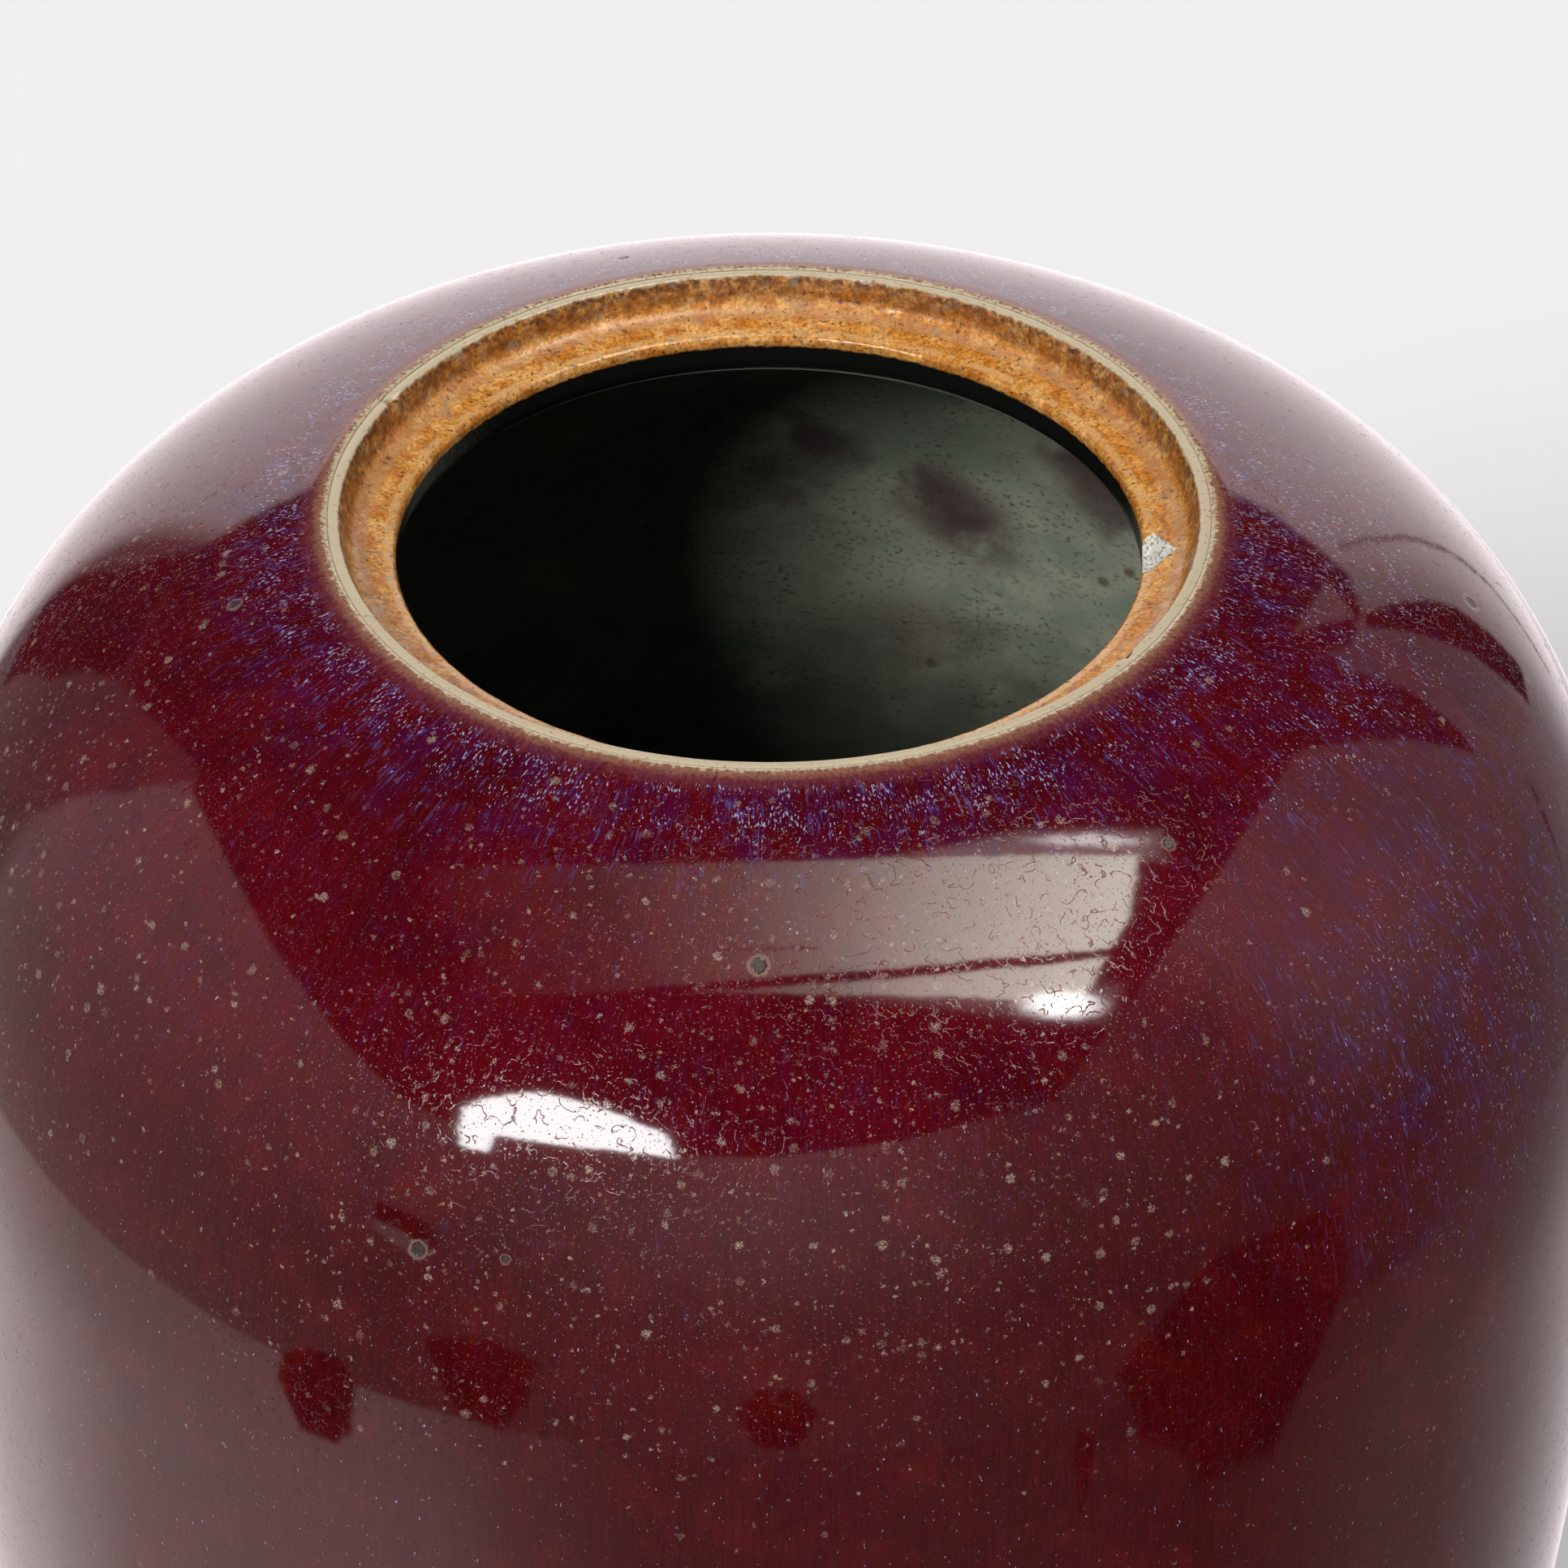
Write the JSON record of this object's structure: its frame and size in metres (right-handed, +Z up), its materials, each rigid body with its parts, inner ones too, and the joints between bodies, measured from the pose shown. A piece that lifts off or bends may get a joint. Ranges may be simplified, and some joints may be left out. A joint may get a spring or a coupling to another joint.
{
  "type": "covered jar",
  "caption": "Broad-shouldered glazed stoneware jar with a recessed cover seat, open at the mouth, and its low domed knobbed cover lying beside it.",
  "frame": {"origin": "centre of the jar's flat foot, on the floor", "axes": "+Z up along the jar's axis; +X towards the cover that lies beside the jar; -Y towards the viewer"},
  "size_m": [0.338, 0.2206, 0.245],
  "materials": {
    "stoneware": "matt fired body, washed ochre brown on the cover seat",
    "flambe_glaze": "glossy oxblood red streaked with blue and white",
    "celadon_glaze": "satin grey green with dark specks"
  },
  "bodies": {
    "jar": {"jar_body": "stoneware", "outer_glaze": "flambe_glaze", "inner_glaze": "celadon_glaze"},
    "cover": {"cover_body": "stoneware", "cover_glaze": "flambe_glaze"}
  },
  "joints": [
    {"name": "cover_lift", "type": "slide", "parent": "jar", "child": "cover", "axis": [0, 0, 1], "range_m": [0, 0.28]}
  ]
}
